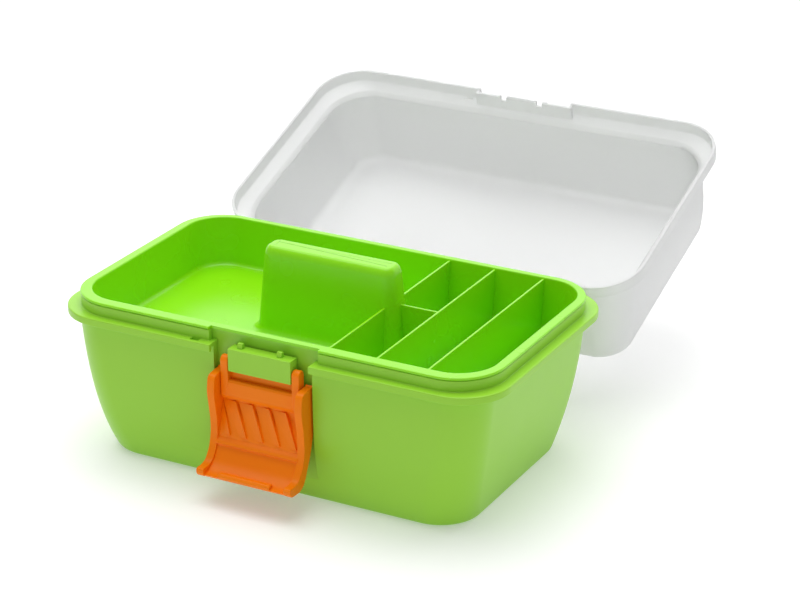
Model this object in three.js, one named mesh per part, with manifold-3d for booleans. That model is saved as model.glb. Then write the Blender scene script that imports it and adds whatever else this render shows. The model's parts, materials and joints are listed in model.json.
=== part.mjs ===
// Sewing box: a tapered tub with a hinged lid, a lift-out tray and an over-the-rim front latch.
// Millimetres, +Z up, +X right, -Y front. The origin is the centre of the tub's underside.
import * as THREE from "three";
import { mergeVertices } from "three/addons/utils/BufferGeometryUtils.js";
import Module from "manifold-3d";

const wasm = await Module();
wasm.setup();

// ---- driving dimensions -------------------------------------------------------------------
const gap = 0.3; // clearance between touching pieces
const cornerSteps = 7; // facets on a quarter of a rounded corner
const bite = 1; // how far joined shapes run into each other, and cutters run past a face

// rim shared by the tub's flange and the lid's skirt
const rimHalfX = 156.5;
const rimHalfY = 92.3;
const rimCorner = 32.9;

// tub
const tubHeight = 98.7; // underside to flange top
const tubWall = 2.2;
const tubFloor = 2.4;
const footRadius = 3;
const floorCove = 3.5; // rounding between the floor and the walls inside
const baseInsetX = 26; // rim to base, at the ends
const baseInsetY = 17; // rim to base, front and back
const baseCorner = 27.3;
const wallInsetX = 9.5; // rim to the wall under the flange, at the ends
const wallInsetY = 4.9; // the same, front and back
const wallCorner = 26;
const flangeEdge = 5; // height of the flange's turned-down edge
const flangePlate = 2.2;
const endBulge = 1.53; // how fast the ends swell from the base
const sideBulge = 3.9; // how fast the long walls swell from the base

// tray
const ringInsetX = 6.5; // rim to the tray ring's outer edge, at the ends
const ringInsetY = 5.65; // the same, front and back
const ringCorner = 32.5;
const ringRise = 9.3; // flange top to ring top
const ringPlate = 1.8;
const ringWidth = 6.5; // at the ends and, on average, front and back
const wellDepth = 34;
const wellDraft = 3.5;
const trayWall = 1.6;
const dividerDrop = 1; // ring top to divider top
const dividerWall = 1.6;
const shortDividerX = 42;
const middleDividerX = 75;
const endDividerX = 110;
const crossDividerY = 2.5;

// tray handle, a hollow grip moulded up from the tray's floor
const handleX = -1;
const handleY = 3;
const handleHalfX = 49.5; // at the height of the ring
const handleHalfY = 11.5;
const handleRise = 24; // ring top to handle top
const handleWall = 1.8;

// lid
const lidDepth = 74.5;
const lidWall = 1.8;
const skirtHeight = 8.2;
const skirtWall = 2.2;
const ledgeRoom = 1.6; // tray ring to the ledge inside the closed lid
const shoulderBlend = 3; // height over which the shoulder turns into the wall
const lidInsetX = 10.2; // rim to the lid's wall, at the ends
const lidInsetY = 8.7;
const lidTopInsetX = 18.2; // rim to the lid's top edge
const lidTopInsetY = 11.2;
const lidTopCorner = 21;
const lidCrown = 5; // rounding of the lid's top edge
const lidOpen = 160.6; // degrees, closed to the stop

// hinge
const hingeBack = 8; // hinge axis behind the rim
const hingeDrop = 3.8; // hinge axis below the flange top
const hingeInset = 28.6; // start of the rim's corner to the middle of a hinge
const knuckleRadius = 4.2;
const knuckleLength = 12;
const pinRadius = 1.5;

// latch
const recessSide = 1.3; // lever's cheek to the side of the recess in the tub's front
const recessWallY = 10.3; // rim to the recess's back wall
const ringStepSide = 3.8; // side of the recess to the end of the ring's step
const ringStepDepth = 3;
const blockHalf = 22.4;
const blockHeight = 15.2;
const blockDepth = 8.8;
const blockFront = 0.5; // rim to the block's front face
const blockWebInset = 2; // block's end to the end of the web behind it
const blockWebRise = 1; // block's underside to the web's
const blockWebDrop = 6; // block's top to the web's
const pegPlaces = [-15.4, 12.7]; // two locating pegs on the block
const pegWidth = 3.6;
const pegDepth = 3.8;
const pegFront = 2.9; // block's front to a peg's
const pegHeight = 3.4;
const armThick = 5.4;
const armDepth = 7;
const armLength = 22.1; // pivot to the centre of the arm's lower end
const pivotDrop = 9.3; // flange top to the link's pivot on the block
const leverReach = 14.5; // link pivot to lever pivot
const studRadius = 2;
const studLength = 3.4;
const barTop = 12.2; // link pivot to the cross bar's upper edge
const barThick = 4.8;
const tieTop = 7.4; // link pivot to the top of the thin tie behind the bar
const tieFront = 1.2; // link pivot to the front of the tie
const tieThick = 2.1;
const cheekThick = 5.2;
const sideGap = 0.45; // between block, arms and cheeks
const notchSide = 0.7; // side of the tub's recess to the side of the set-back in the lid's skirt
const notchDepth = 4.4;
const notchHeight = 11.2; // it clears the lever's cheeks when the latch is over the lid
const keeperHalf = 18.7; // half the width of the strip that the latch grips
const keeperHeight = 2.4;
const keeperProud = 0.5;
const lipHalf = 18.5; // half the width of the lever's pull lip

// a small locating slot in the flange, beside the latch
const slotSide = 9; // end of the ring's step to the middle of the slot
const slotHalf = 3;
const slotInset = 2.3; // rim to the slot's outer side
const slotDepth = 1.5;

// ---- geometry helpers ---------------------------------------------------------------------
function solid(geometry) {
  const bare = geometry.clone();
  bare.deleteAttribute("normal");
  bare.deleteAttribute("uv");
  const merged = mergeVertices(bare, 1e-4);
  return new wasm.Manifold(
    new wasm.Mesh({
      numProp: 3,
      vertProperties: merged.attributes.position.array,
      triVerts: new Uint32Array(merged.index.array),
    }),
  );
}

// A stack of rounded rectangles. It may turn back on itself, so one stack makes a whole bowl.
function loft(sections) {
  const ring = [];
  for (const [sx, sy, from] of [[1, 1, 0], [-1, 1, 1], [-1, -1, 2], [1, -1, 3]]) {
    for (let i = 0; i <= cornerSteps; i++) {
      const t = ((from + i / cornerSteps) * Math.PI) / 2;
      ring.push(new THREE.Vector2(2 * sx + Math.cos(t), sy + Math.sin(t)));
    }
  }
  const steps = sections.length - 1;
  const geometry = new THREE.ExtrudeGeometry(new THREE.Shape(ring), {
    depth: steps,
    steps,
    bevelEnabled: false,
  });
  const p = geometry.attributes.position;
  for (let i = 0; i < p.count; i++) {
    const { z, a, b, r, x = 0, y = 0 } = sections[Math.round(p.getZ(i))];
    const sx = Math.sign(p.getX(i));
    const sy = Math.sign(p.getY(i));
    p.setXYZ(
      i,
      x + sx * (a - r) + r * (p.getX(i) - 2 * sx),
      y + sy * (b - r) + r * (p.getY(i) - sy),
      z,
    );
  }
  return solid(geometry);
}

function box(x0, x1, y0, y1, z0, z1) {
  const geometry = new THREE.BoxGeometry(x1 - x0, y1 - y0, z1 - z0);
  geometry.translate((x0 + x1) / 2, (y0 + y1) / 2, (z0 + z1) / 2);
  return solid(geometry);
}

// A side outline of [y, z] points, drawn out along X.
function prism(outline, x0, x1) {
  const shape = new THREE.Shape(outline.map(([y, z]) => new THREE.Vector2(y, z)));
  const geometry = new THREE.ExtrudeGeometry(shape, { depth: x1 - x0, bevelEnabled: false });
  geometry.applyMatrix4(
    new THREE.Matrix4().makeBasis(
      new THREE.Vector3(0, 1, 0),
      new THREE.Vector3(0, 0, 1),
      new THREE.Vector3(1, 0, 0),
    ),
  );
  geometry.translate(x0, 0, 0);
  return solid(geometry);
}

function rod(radius, x0, x1, y, z, sides = 20) {
  const geometry = new THREE.CylinderGeometry(radius, radius, x1 - x0, sides);
  geometry.rotateZ(Math.PI / 2);
  geometry.translate((x0 + x1) / 2, y, z);
  return solid(geometry);
}

function mesh(name, shape, material) {
  const made = shape.getMesh();
  const geometry = new THREE.BufferGeometry();
  geometry.setAttribute("position", new THREE.BufferAttribute(made.vertProperties, 3));
  geometry.setIndex(new THREE.BufferAttribute(made.triVerts, 1));
  geometry.computeVertexNormals();
  const result = new THREE.Mesh(geometry, material);
  result.name = name;
  return result;
}

const union = (...shapes) => shapes.reduce((a, b) => a.add(b));
const mix = (a, b, t) => a + (b - a) * t;
const rect = (z, insetX, insetY, r, y = 0) => ({
  z,
  a: rimHalfX - insetX,
  b: rimHalfY - insetY,
  r,
  y,
});
const shrink = (s, d, z = s.z) => ({ ...s, z, a: s.a - d, b: s.b - d, r: Math.max(1, s.r - d) });

// ---- shared places ------------------------------------------------------------------------
const ringTop = tubHeight + ringRise;
const neckTop = ringTop - ringPlate - gap;
const wallTop = tubHeight - flangePlate;
const recessY = -(rimHalfY - recessWallY);
const blockFrontY = -(rimHalfY - blockFront);
const blockBackY = blockFrontY + blockDepth;
const pegY = blockFrontY + pegFront;
const pivotY = blockFrontY + armDepth / 2;
const pivotZ = tubHeight - pivotDrop;
const leverPivotZ = pivotZ - leverReach;
const armInner = blockHalf + sideGap;
const armOuter = armInner + armThick;
const cheekInner = armOuter + sideGap;
const cheekOuter = cheekInner + cheekThick;
const recessHalf = cheekOuter + recessSide;
const ringStepHalf = recessHalf + ringStepSide;
const notchHalf = recessHalf + notchSide;
const slotX = -(ringStepHalf + slotSide);
const hingeX = rimHalfX - rimCorner - hingeInset;
const hingeY = rimHalfY + hingeBack;
const hingeZ = tubHeight - hingeDrop;
const rimZ = tubHeight + gap; // the closed lid's rim
const shoulderLow = ringRise + ledgeRoom + lidWall; // the lid's shoulder, from its rim
const shoulderTop = shoulderLow + shoulderBlend;

// ---- tub ----------------------------------------------------------------------------------
function tubWallAt(z) {
  const s = z / wallTop;
  const endSwell = 1 - (1 - s) ** endBulge;
  const sideSwell = 1 - (1 - s) ** sideBulge;
  return rect(
    z,
    mix(baseInsetX, wallInsetX, endSwell),
    mix(baseInsetY, wallInsetY, sideSwell),
    mix(baseCorner, wallCorner, s),
  );
}

function tubOutside() {
  const sections = [0, 30, 60].map((degrees) => {
    const t = THREE.MathUtils.degToRad(degrees);
    const z = footRadius * (1 - Math.cos(t));
    return shrink(tubWallAt(z), footRadius * (1 - Math.sin(t)));
  });
  for (const share of [0, 0.06, 0.13, 0.21, 0.3, 0.4, 0.52, 0.65, 0.82, 1]) {
    sections.push(tubWallAt(mix(footRadius, wallTop, share)));
  }
  return sections;
}

const neck = (z, d = 0) => shrink(rect(z, ringInsetX, ringInsetY, ringCorner), gap + d);

function flange() {
  const edge = rect(tubHeight, 0, 0, rimCorner);
  return [
    shrink(edge, tubWall, wallTop),
    shrink(edge, tubWall, tubHeight - flangeEdge),
    { ...edge, z: tubHeight - flangeEdge },
    edge,
    neck(tubHeight),
    neck(neckTop),
  ];
}

function tubInside() {
  const sections = [neck(neckTop, tubWall), neck(tubHeight - 0.6, tubWall)];
  for (const share of [1, 0.82, 0.65, 0.5, 0.37, 0.26, 0.16, 0.08, 0.02]) {
    const z = mix(tubFloor + floorCove, wallTop - 2, share);
    sections.push(shrink(tubWallAt(z), tubWall));
  }
  const floor = tubWallAt(tubFloor);
  sections.push(shrink(floor, tubWall + floorCove * 0.3, tubFloor + floorCove * 0.3));
  sections.push(shrink(floor, tubWall + floorCove, tubFloor));
  return sections;
}

function hingeKnuckle(x) {
  const barrel = rod(knuckleRadius, x - knuckleLength / 2, x + knuckleLength / 2, hingeY, hingeZ);
  const web = box(
    x - knuckleLength / 2,
    x + knuckleLength / 2,
    rimHalfY - tubWall / 2,
    hingeY,
    tubHeight - flangeEdge,
    hingeZ + knuckleRadius - gap,
  );
  return barrel.add(web);
}

function tubShape() {
  const filled = loft([...tubOutside(), ...flange()]);
  const shell = loft([...tubOutside(), ...flange(), ...tubInside()]);
  // The recess for the latch is wider above the flange, where the tray's ring steps back too.
  const linerTo = (half, z0) =>
    box(-half, half, -rimHalfY, recessY + tubWall - gap / 2, z0, neckTop).intersect(filled);
  const recessTo = (half, z0) =>
    box(-half, half, -rimHalfY - bite, recessY, z0, neckTop + bite);
  const liner = linerTo(recessHalf + tubWall, footRadius).add(
    linerTo(ringStepHalf + tubWall, tubHeight - flangePlate),
  );
  const recess = recessTo(recessHalf, footRadius).add(recessTo(ringStepHalf, tubHeight));
  const slot = box(
    slotX - slotHalf,
    slotX + slotHalf,
    -(rimHalfY - slotInset),
    -(rimHalfY - ringInsetY),
    tubHeight - slotDepth,
    tubHeight + bite,
  );
  const block = box(
    -blockHalf,
    blockHalf,
    blockFrontY,
    blockBackY,
    tubHeight - blockHeight,
    tubHeight,
  );
  const blockWeb = box(
    -blockHalf + blockWebInset,
    blockHalf - blockWebInset,
    blockBackY - bite,
    recessY + bite,
    tubHeight - blockHeight + blockWebRise,
    tubHeight - blockWebDrop,
  );
  const pegs = pegPlaces.map((x) =>
    box(
      x - pegWidth / 2,
      x + pegWidth / 2,
      pegY,
      pegY + pegDepth,
      tubHeight - bite,
      tubHeight + pegHeight,
    ),
  );
  const studHole = rod(studRadius + gap, -blockHalf - bite, blockHalf + bite, pivotY, pivotZ);
  const hinges = [];
  for (const side of [-1, 1]) {
    for (const offset of [-1, 1]) {
      hinges.push(hingeKnuckle(side * hingeX + offset * (knuckleLength + gap)));
    }
  }
  const pinHole = rod(pinRadius + gap, -rimHalfX, rimHalfX, hingeY, hingeZ);
  return union(shell.add(liner).subtract(recess), block, blockWeb, ...pegs, ...hinges)
    .subtract(slot)
    .subtract(studHole)
    .subtract(pinHole);
}

// ---- tray ---------------------------------------------------------------------------------
const wellHalfX = rimHalfX - ringInsetX - ringWidth;
const wellHalfY = rimHalfY - ringInsetY - ringWidth;
const wellCorner = ringCorner - ringWidth;
const wellFloor = ringTop - wellDepth;
// The well sits back from the ring's centre, so that its front wall clears the latch recess.
const wellShift = recessWallY + tubWall + gap / 2 - (ringInsetY + ringWidth - trayWall);

function well(z, wall, drop = 0) {
  const inset = (wellDraft * (ringTop - z)) / wellDepth + drop - wall;
  return {
    z,
    a: wellHalfX - inset,
    b: wellHalfY - inset,
    r: wellCorner - inset,
    y: wellShift,
  };
}

function handleAt(z, grow = 0, lift = 0) {
  return {
    z: z + lift,
    x: handleX,
    y: handleY,
    a: handleHalfX + grow,
    b: handleHalfY + grow,
    r: handleHalfY + grow - 2.5,
  };
}

function handleSections(d) {
  const top = ringTop + handleRise;
  return [
    handleAt(wellFloor, 7 - d),
    handleAt(wellFloor + 1.5, 4.4 - d),
    handleAt(wellFloor + 5, 2.9 - d),
    handleAt(wellFloor + 14, 2 - d),
    handleAt(ringTop, 0 - d),
    handleAt(ringTop + handleRise / 2, -1.2 - d),
    handleAt(top - 6, -1.9 - d, -d),
    handleAt(top - 3, -2.8 - d, -d),
    handleAt(top - 1, -4.6 - d, -d),
    handleAt(top, -7.2 - d, -d),
  ];
}

function trayShape() {
  const ring = (z, d = 0) => shrink(rect(z, ringInsetX, ringInsetY, ringCorner), d);
  const lip = [ring(ringTop - ringPlate), ring(ringTop)];
  const outside = [
    well(wellFloor - trayWall, trayWall, 3),
    well(wellFloor, trayWall, 0.8),
    well(wellFloor + 3, trayWall),
    well(ringTop - ringPlate, trayWall),
  ];
  const inside = [well(ringTop, 0), well(wellFloor + 3, 0), well(wellFloor + 0.8, 0, 0.8)];
  const shell = loft([...outside, ...lip, ...inside, well(wellFloor, 0, 3)]);
  const filled = loft([...outside, well(ringTop - dividerDrop, trayWall)]);
  const wallAt = (x, y0, y1) =>
    box(
      x - dividerWall / 2,
      x + dividerWall / 2,
      y0,
      y1,
      wellFloor - trayWall / 2,
      ringTop - dividerDrop,
    ).intersect(filled);
  const reach = rimHalfY;
  const dividers = [
    wallAt(shortDividerX, handleY, reach),
    wallAt(shortDividerX, -reach, handleY),
    wallAt(middleDividerX, -reach, reach),
    wallAt(endDividerX, -reach, reach),
    box(
      handleX,
      middleDividerX,
      crossDividerY - dividerWall / 2,
      crossDividerY + dividerWall / 2,
      wellFloor - trayWall / 2,
      ringTop - dividerDrop,
    ),
  ];
  const step = box(
    -ringStepHalf,
    ringStepHalf,
    -rimHalfY,
    -(rimHalfY - ringInsetY - ringStepDepth),
    neckTop,
    ringTop + bite,
  );
  const hollow = loft([
    handleAt(wellFloor - trayWall - bite, 7 - handleWall),
    ...handleSections(handleWall),
  ]);
  return union(shell, ...dividers, loft(handleSections(0))).subtract(hollow).subtract(step);
}

// ---- lid, modelled closed -----------------------------------------------------------------
function lidWallAt(w) {
  const s = Math.max(0, (w - shoulderTop) / (lidDepth - shoulderTop));
  const lean = s ** 2.2;
  return rect(
    rimZ + w,
    mix(lidInsetX, lidTopInsetX, lean),
    mix(lidInsetY, lidTopInsetY, lean),
    mix(rimCorner - 3.7, lidTopCorner, s),
  );
}

function lidOutside() {
  const rim = rect(rimZ, 0, 0, rimCorner);
  const sections = [rim, { ...rim, z: rimZ + skirtHeight }];
  sections.push(shrink(rim, 1.4, rimZ + skirtHeight + 0.4));
  sections.push(shrink(lidWallAt(skirtHeight), -2.2, rimZ + shoulderLow));
  for (const share of [0, 0.18, 0.36, 0.52, 0.68, 0.84, 1]) {
    sections.push(lidWallAt(mix(shoulderTop, lidDepth - lidCrown, share)));
  }
  for (const degrees of [30, 60, 90]) {
    const t = THREE.MathUtils.degToRad(degrees);
    const w = lidDepth - lidCrown * (1 - Math.sin(t));
    sections.push(shrink(lidWallAt(w), lidCrown * (1 - Math.cos(t))));
  }
  return sections;
}

function lidInside() {
  const rim = rect(rimZ, 0, 0, rimCorner);
  const sections = [];
  const top = lidDepth - lidWall;
  for (const degrees of [90, 50, 10]) {
    const t = THREE.MathUtils.degToRad(degrees);
    const w = top - lidCrown * (1 - Math.sin(t));
    sections.push(shrink(lidWallAt(w), lidWall + lidCrown * (1 - Math.cos(t))));
  }
  for (const share of [0.84, 0.68, 0.52, 0.36, 0.18, 0]) {
    const w = mix(shoulderTop, lidDepth - lidCrown, share);
    sections.push(shrink(lidWallAt(w), lidWall));
  }
  // The slanted ledge follows the shoulder outside it, a wall's thickness in.
  sections.push(shrink(lidWallAt(skirtHeight), -0.6, rimZ + shoulderLow - lidWall / 4));
  sections.push(shrink(rim, skirtWall + 0.4, rimZ + skirtHeight - skirtWall / 4));
  sections.push(shrink(rim, skirtWall));
  return sections;
}

function lidKnuckle(x) {
  const x0 = x - knuckleLength / 2;
  const x1 = x + knuckleLength / 2;
  const arm = prism(
    [
      [rimHalfY - 1, rimZ + gap / 3],
      [rimHalfY + 2 * gap, rimZ + gap / 3],
      [hingeY - knuckleRadius, hingeZ],
      [hingeY + knuckleRadius * 0.95, hingeZ + knuckleRadius * 0.3],
      [rimHalfY + 3, rimZ + skirtHeight - 1],
      [rimHalfY - 1, rimZ + skirtHeight - 1],
    ],
    x0,
    x1,
  );
  return rod(knuckleRadius, x0, x1, hingeY, hingeZ).add(arm);
}

function lidShape() {
  const filled = loft(lidOutside());
  const shell = loft([...lidInside(), ...lidOutside()]);
  const setBack = -(rimHalfY - notchDepth);
  const liner = box(
    -notchHalf - lidWall,
    notchHalf + lidWall,
    -rimHalfY,
    setBack + lidWall,
    rimZ,
    rimZ + notchHeight + lidWall,
  ).intersect(filled);
  const notch = box(
    -notchHalf,
    notchHalf,
    -rimHalfY - bite,
    setBack,
    rimZ - bite,
    rimZ + notchHeight,
  );
  const keeper = box(
    -keeperHalf,
    keeperHalf,
    setBack - keeperProud,
    setBack + bite,
    rimZ,
    rimZ + keeperHeight,
  );
  // Slots in the set-back's wall take the block's pegs when the lid is closed.
  const slots = pegPlaces.map((x) =>
    box(
      x - pegWidth / 2 - 2 * gap,
      x + pegWidth / 2 + 2 * gap,
      -rimHalfY,
      pegY + pegDepth + 2 * gap,
      rimZ - bite,
      tubHeight + pegHeight + 2 * gap,
    ),
  );
  const pinHole = rod(pinRadius + gap, -rimHalfX, rimHalfX, hingeY, hingeZ);
  return union(
    shell.add(liner).subtract(notch),
    keeper,
    lidKnuckle(-hingeX),
    lidKnuckle(hingeX),
  ).subtract(union(pinHole, ...slots));
}

// ---- latch link: two arms and a cross bar -------------------------------------------------
function armOutline() {
  const r = armDepth / 2;
  const outline = [];
  for (let i = 0; i <= 10; i++) {
    const t = (i / 10) * Math.PI;
    outline.push([pivotY + r * Math.cos(t), pivotZ + r * Math.sin(t)]);
  }
  for (let i = 0; i <= 10; i++) {
    const t = Math.PI + (i / 10) * Math.PI;
    outline.push([pivotY + r * Math.cos(t), pivotZ - armLength + r * Math.sin(t)]);
  }
  return outline;
}

function linkShape() {
  const outline = armOutline();
  const front = pivotY - armDepth / 2;
  const barLow = pivotZ - armLength - armDepth / 2 + 0.4;
  const barHigh = pivotZ - barTop;
  const bar = prism(
    [
      [front + 1.2, barHigh],
      [front + 0.3, barHigh - 1.2],
      [front + 0.3, barLow + 2.4],
      [front + 1.6, barLow],
      [front + barThick, barLow],
      [front + barThick, barHigh],
    ],
    -armInner - bite,
    armInner + bite,
  );
  const tie = box(
    -armInner - bite,
    armInner + bite,
    pivotY + tieFront,
    pivotY + tieFront + tieThick,
    barHigh - bite,
    pivotZ - tieTop,
  );
  const sides = [-1, 1].flatMap((side) => {
    const span = (from, to) => [Math.min(side * from, side * to), Math.max(side * from, side * to)];
    return [
      prism(outline, ...span(armInner, armOuter)),
      rod(studRadius, ...span(armInner - studLength, armInner + bite), pivotY, pivotZ),
      rod(studRadius, ...span(armOuter - bite, armOuter + studLength), pivotY, leverPivotZ),
    ];
  });
  return union(bar, tie, ...sides);
}

// ---- latch lever: two cheeks and a ribbed panel that ends in a pull lip -------------------
const lever = ([y, z]) => [pivotY + y, leverPivotZ + z]; // outlines are drawn from the pivot

const cheekOutline = [
  [4.4, 5.6],
  [3.6, 6.8],
  [-1.5, 6.8],
  [-6.5, 6.2],
  [-9.2, 4.2],
  [-10.4, -1.9],
  [-10.5, -6.4],
  [-9.2, -14.9],
  [-8, -23.4],
  [-7.8, -31.9],
  [-9.1, -38.9],
  [-11.1, -43.9],
  [-15.1, -48.9],
  [-20.1, -50.6],
  [-24.9, -50.7],
  [-26, -52.4],
  [-25.4, -54.9],
  [-23.1, -56.6],
  [-17.6, -57.1],
  [-12.6, -56.7],
  [-8.1, -53.4],
  [-4, -45.4],
  [-0.2, -37.4],
  [2.6, -27.9],
  [4, -20.9],
].map(lever);

const panelTop = leverReach - armLength - armDepth / 2 - gap; // just under the link's arms

const panelOutline = [
  [1.4, panelTop],
  [0, panelTop],
  [0.2, -16.9],
  [-2, -22.4],
  [-4.2, -27.6],
  [-6.4, -36.2],
  [-8, -38.2],
  [-8.2, -39.6],
  [-10.1, -43.4],
  [-15.3, -50.6],
  [-20.9, -53.8],
  [-25.2, -54.6],
  [-23.1, -56.6],
  [-17.6, -57.1],
  [-14.2, -56.2],
  [-9.6, -50],
  [-6.2, -42.9],
  [-4.2, -37.4],
  [-2.1, -28.6],
  [0.1, -23.4],
  [2, -17.5],
].map(lever);

const lipBar = [
  [-20.6, -54.3],
  [-21, -52],
  [-24.4, -51.6],
  [-25.9, -53],
  [-25.2, -55],
  [-22, -56],
].map(lever);

function leverShape() {
  const cheeks = [
    prism(cheekOutline, -cheekOuter, -cheekInner),
    prism(cheekOutline, cheekInner, cheekOuter),
  ];
  const panel = prism(panelOutline, -cheekInner - bite, cheekInner + bite);
  const lip = prism(lipBar, -lipHalf, lipHalf);
  const pivotEnd = armOuter + studLength + gap;
  const pivots = rod(studRadius + gap, -pivotEnd, pivotEnd, pivotY, leverPivotZ);
  return union(panel, lip, ...cheeks).subtract(pivots);
}

// ---- assembly -----------------------------------------------------------------------------
const plastic = (color, roughness, opacity = 1) =>
  new THREE.MeshStandardMaterial({
    color,
    roughness,
    metalness: 0,
    opacity,
    transparent: opacity < 1,
  });
const lime = plastic(0x86c83c, 0.3);
const brightLime = plastic(0x6fd400, 0.3);
const frosted = plastic(0xe9eaea, 0.4, 0.75);
const orange = plastic(0xea6f06, 0.38);
const steel = new THREE.MeshStandardMaterial({ color: 0xb8bcc0, roughness: 0.3, metalness: 1 });

const sewingBox = new THREE.Group();
sewingBox.add(mesh("tub", tubShape(), lime));
sewingBox.add(mesh("tray", trayShape(), brightLime));
for (const [name, side] of [["hinge_pin_left", -1], ["hinge_pin_right", 1]]) {
  const half = knuckleLength * 1.5 + gap;
  const pin = rod(pinRadius, side * hingeX - half, side * hingeX + half, hingeY, hingeZ, 12);
  sewingBox.add(mesh(name, pin, steel));
}

const lid = mesh("lid", lidShape(), frosted);
lid.position.set(0, -hingeY, -hingeZ);
const lidPivot = new THREE.Group();
lidPivot.position.set(0, hingeY, hingeZ);
lidPivot.rotation.x = -THREE.MathUtils.degToRad(lidOpen);
lidPivot.add(lid);
sewingBox.add(lidPivot);

sewingBox.add(mesh("latch_link", linkShape(), orange));
sewingBox.add(mesh("latch_lever", leverShape(), orange));

export default sewingBox;
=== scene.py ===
"""Looks of the sewing box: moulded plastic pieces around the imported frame, a pale floor and soft light.

Shapes are worked out in millimetres, in the frame's axes: +Z up, -Y towards the latch and
+Y towards the hinge.
"""

import json
import math

import bmesh
import bpy
import numpy as np
from mathutils import Matrix, Vector


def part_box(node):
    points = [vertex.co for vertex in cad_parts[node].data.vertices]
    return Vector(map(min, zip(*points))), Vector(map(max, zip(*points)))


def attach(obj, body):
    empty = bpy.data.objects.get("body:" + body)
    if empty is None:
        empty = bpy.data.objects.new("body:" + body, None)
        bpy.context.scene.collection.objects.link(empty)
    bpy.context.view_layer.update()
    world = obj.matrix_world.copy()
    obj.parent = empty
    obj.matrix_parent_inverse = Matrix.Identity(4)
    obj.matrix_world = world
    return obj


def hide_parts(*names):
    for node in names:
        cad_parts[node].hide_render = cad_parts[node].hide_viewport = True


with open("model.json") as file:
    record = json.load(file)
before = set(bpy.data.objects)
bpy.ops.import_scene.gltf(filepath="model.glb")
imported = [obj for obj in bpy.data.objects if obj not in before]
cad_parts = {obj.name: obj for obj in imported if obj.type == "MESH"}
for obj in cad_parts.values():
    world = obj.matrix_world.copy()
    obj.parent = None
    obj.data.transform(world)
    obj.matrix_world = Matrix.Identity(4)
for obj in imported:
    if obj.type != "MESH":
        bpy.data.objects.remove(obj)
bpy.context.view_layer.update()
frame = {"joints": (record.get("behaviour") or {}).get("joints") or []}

# ---- sizes that come from the frame ----------------------------------------------------------
MM = 0.001
joints = {joint["name"]: joint for joint in frame["joints"]}


def corner(node, which):
    """The low (0) or high (1) corner of a node's box, in millimetres."""
    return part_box(node)[which] / MM


RIM_X = corner("tub", 1).x
RIM_Y = -corner("tub", 0).y
NECK_TOP = corner("tub", 1).z
RING_X = corner("tray", 1).x
RING_Y = -corner("tray", 0).y
HANDLE_TOP = corner("tray", 1).z
HINGE_Y, HINGE_Z = (value / MM for value in joints["lid_hinge"]["pos_m"][1:])
PIVOT_Y, PIVOT_Z = (value / MM for value in joints["latch_link_swing"]["pos_m"][1:])
LEVER_Z = joints["latch_lever_pivot"]["pos_m"][2] / MM
LID_OPEN = -joints["lid_hinge"]["range_deg"][0]

# ---- sizes of the design ---------------------------------------------------------------------
GAP = 0.3
RIM_CORNER = 32.9
TUB_HEIGHT = 98.7
TUB_WALL = 2.2
TUB_FLOOR = 2.4
FOOT_RADIUS = 3.0
BASE_INSET = (26.0, 17.0)
BASE_CORNER = 27.3
WALL_INSET = (9.5, 4.9)
WALL_CORNER = 26.0
SWELL = (1.53, 3.9)
FLANGE_EDGE = 5.0
FLANGE_PLATE = 2.2
WALL_TOP = TUB_HEIGHT - FLANGE_PLATE

RING_CORNER = 32.5
RING_PLATE = 1.8
RING_TOP = NECK_TOP + RING_PLATE + GAP
RING_WIDTH = 6.5
WELL_SHIFT = 2.1
WELL_DEPTH = 34.0
WELL_DRAFT = 3.5
WELL_FLOOR = RING_TOP - WELL_DEPTH
TRAY_WALL = 1.6
DIVIDER_TOP = RING_TOP - 1.0
DIVIDER_WALL = 1.6
SHORT_DIVIDER_X = 42.0
MIDDLE_DIVIDER_X = 75.0
END_DIVIDER_X = 110.0
CROSS_DIVIDER_Y = 2.5
HANDLE_CENTRE = (-1.0, 3.0)
HANDLE_HALF = (49.5, 11.5)
HANDLE_WALL = 1.8
RING_STEP_HALF = 39.0
RING_STEP_DEPTH = 3.0

RIM_Z = TUB_HEIGHT + GAP
LID_DEPTH = 74.5
LID_WALL = 1.8
SKIRT_HEIGHT = 8.2
SKIRT_WALL = 2.2
SHOULDER_LOW = 12.7
SHOULDER_TOP = 15.7
LID_INSET = (10.2, 8.7)
LID_TOP_INSET = (18.2, 11.2)
LID_TOP_CORNER = 21.0
LID_CROWN = 5.0
NOTCH_HALF = 35.9
NOTCH_DEPTH = 4.4
NOTCH_HEIGHT = 11.2

HINGE_X = 95.0
KNUCKLE_RADIUS = 4.2
KNUCKLE_LENGTH = 12.0
PIN_RADIUS = 1.5

RECESS_HALF = 35.2
RECESS_Y = 10.3 - RIM_Y
BLOCK_HALF = 22.4
BLOCK_HEIGHT = 15.2
BLOCK_DEPTH = 8.8
BLOCK_FRONT_Y = 0.5 - RIM_Y
BLOCK_BACK_Y = BLOCK_FRONT_Y + BLOCK_DEPTH
PEG_PLACES = (-15.4, 12.7)
PEG_WIDTH = 3.6
PEG_DEPTH = 3.8
PEG_HEIGHT = 3.4
PEG_FRONT = 2.9
PEG_Y = BLOCK_FRONT_Y + PEG_FRONT
KEEPER_HALF = 18.7
KEEPER_HEIGHT = 2.4
KEEPER_PROUD = 0.5
SLOT_X = -(RING_STEP_HALF + 9.0)
SLOT_HALF = 3.0
SLOT_INSET = 2.3
SLOT_DEPTH = 1.5
POCKET_X = (-50.0, -42.0)
POCKET_INSET = (3.2, 7.0)
POCKET_HEIGHT = (5.0, 9.4)

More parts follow.
